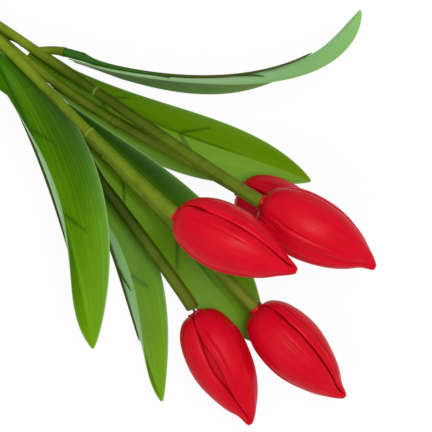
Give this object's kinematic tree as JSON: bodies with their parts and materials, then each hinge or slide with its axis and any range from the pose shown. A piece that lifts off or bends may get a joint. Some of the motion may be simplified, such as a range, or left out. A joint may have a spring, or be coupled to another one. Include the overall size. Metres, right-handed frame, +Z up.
{
  "type": "artificial tulip bouquet",
  "caption": "Artificial bouquet of closed red tulips on wire-cored stems that branch from one trunk, with folded green leaves, for laying on a table or standing in a vase.",
  "frame": {"origin": "on the table, under the middle of the bouquet's bounding box", "axes": "+X from the cut end of the trunk to the heads, +Z up from the table on which the bouquet lies"},
  "size_m": [0.4028, 0.2232, 0.0892],
  "materials": {
    "frame": "satin olive green moulding",
    "wire": "drawn wire",
    "stem": "satin olive green moulding, fluted lengthwise",
    "bud_core": "moulded, brownish red",
    "outer_petal": "soft satin red with fine lengthwise veins",
    "inner_petal": "soft satin red with fine lengthwise veins",
    "blade": "satin coated cloth, parallel veins, pale underside and margin",
    "spine": "satin dark green moulding"
  },
  "bodies": {
    "bush": {"bush_frame": "frame", "core_wire_1": "wire", "core_wire_2": "wire", "core_wire_3": "wire", "core_wire_4": "wire", "core_wire_5": "wire", "upper_stem_1": "stem", "upper_stem_2": "stem", "upper_stem_3": "stem", "upper_stem_4": "stem", "upper_stem_5": "stem"},
    "head_1": {"bud_core_1": "bud_core", "outer_petal_1_a": "outer_petal", "outer_petal_1_b": "outer_petal", "outer_petal_1_c": "outer_petal", "inner_petal_1_a": "inner_petal", "inner_petal_1_b": "inner_petal", "inner_petal_1_c": "inner_petal"},
    "head_2": {"bud_core_2": "bud_core", "outer_petal_2_a": "outer_petal", "outer_petal_2_b": "outer_petal", "outer_petal_2_c": "outer_petal", "inner_petal_2_a": "inner_petal", "inner_petal_2_b": "inner_petal", "inner_petal_2_c": "inner_petal"},
    "head_3": {"bud_core_3": "bud_core", "outer_petal_3_a": "outer_petal", "outer_petal_3_b": "outer_petal", "outer_petal_3_c": "outer_petal", "inner_petal_3_a": "inner_petal", "inner_petal_3_b": "inner_petal", "inner_petal_3_c": "inner_petal"},
    "head_4": {"bud_core_4": "bud_core", "outer_petal_4_a": "outer_petal", "outer_petal_4_b": "outer_petal", "outer_petal_4_c": "outer_petal", "inner_petal_4_a": "inner_petal", "inner_petal_4_b": "inner_petal", "inner_petal_4_c": "inner_petal"},
    "head_5": {"bud_core_5": "bud_core", "outer_petal_5_a": "outer_petal", "outer_petal_5_b": "outer_petal", "outer_petal_5_c": "outer_petal", "inner_petal_5_a": "inner_petal", "inner_petal_5_b": "inner_petal", "inner_petal_5_c": "inner_petal"},
    "leaf_1": {"leaf_blade_1": "blade", "leaf_spine_1": "spine"},
    "leaf_2": {"leaf_blade_2": "blade", "leaf_spine_2": "spine"},
    "leaf_3": {"leaf_blade_3": "blade", "leaf_spine_3": "spine"},
    "leaf_4": {"leaf_blade_4": "blade", "leaf_spine_4": "spine"},
    "leaf_5": {"leaf_blade_5": "blade", "leaf_spine_5": "spine"}
  },
  "joints": [
    {"name": "head_1_twist", "type": "hinge", "parent": "bush", "child": "head_1", "pos_m": [0.07365, -0.02797, 0.06901], "axis": [0.9565, 0.2563, 0.1392], "continuous": true},
    {"name": "head_2_twist", "type": "hinge", "parent": "bush", "child": "head_2", "pos_m": [0.10155, 0.00416, 0.05605], "axis": [0.9742, 0.2249, 0.0175], "continuous": true},
    {"name": "head_3_twist", "type": "hinge", "parent": "bush", "child": "head_3", "pos_m": [0.08855, 0.00292, 0.017], "axis": [0.9848, 0.1736, 0], "continuous": true},
    {"name": "head_4_twist", "type": "hinge", "parent": "bush", "child": "head_4", "pos_m": [0.13655, -0.03915, 0.017], "axis": [0.9962, -0.0872, 0], "continuous": true},
    {"name": "head_5_twist", "type": "hinge", "parent": "bush", "child": "head_5", "pos_m": [0.11355, -0.06158, 0.017], "axis": [0.9336, -0.3584, 0], "continuous": true},
    {"name": "leaf_1_swivel", "type": "hinge", "parent": "bush", "child": "leaf_1", "pos_m": [-0.06184, -0.02869, 0.01833], "axis": [0.94, -0.3403, -0.0262], "range_deg": [-5, 5]},
    {"name": "leaf_2_swivel", "type": "hinge", "parent": "bush", "child": "leaf_2", "pos_m": [-0.02756, -0.00302, 0.01846], "axis": [0.8383, 0.3803, 0.3907], "range_deg": [-45, 45]},
    {"name": "leaf_3_swivel", "type": "hinge", "parent": "bush", "child": "leaf_3", "pos_m": [-0.04876, -0.01346, 0.00463], "axis": [0.9966, 0.0679, -0.0471], "range_deg": [-5, 4]},
    {"name": "leaf_4_swivel", "type": "hinge", "parent": "bush", "child": "leaf_4", "pos_m": [-0.01504, -0.02533, 0.00434], "axis": [0.9979, -0.0506, -0.0401], "range_deg": [-1, 2]},
    {"name": "leaf_5_swivel", "type": "hinge", "parent": "bush", "child": "leaf_5", "pos_m": [-0.02073, -0.03608, 0.00942], "axis": [0.9556, -0.2329, -0.1805], "range_deg": [-3, 4]}
  ]
}
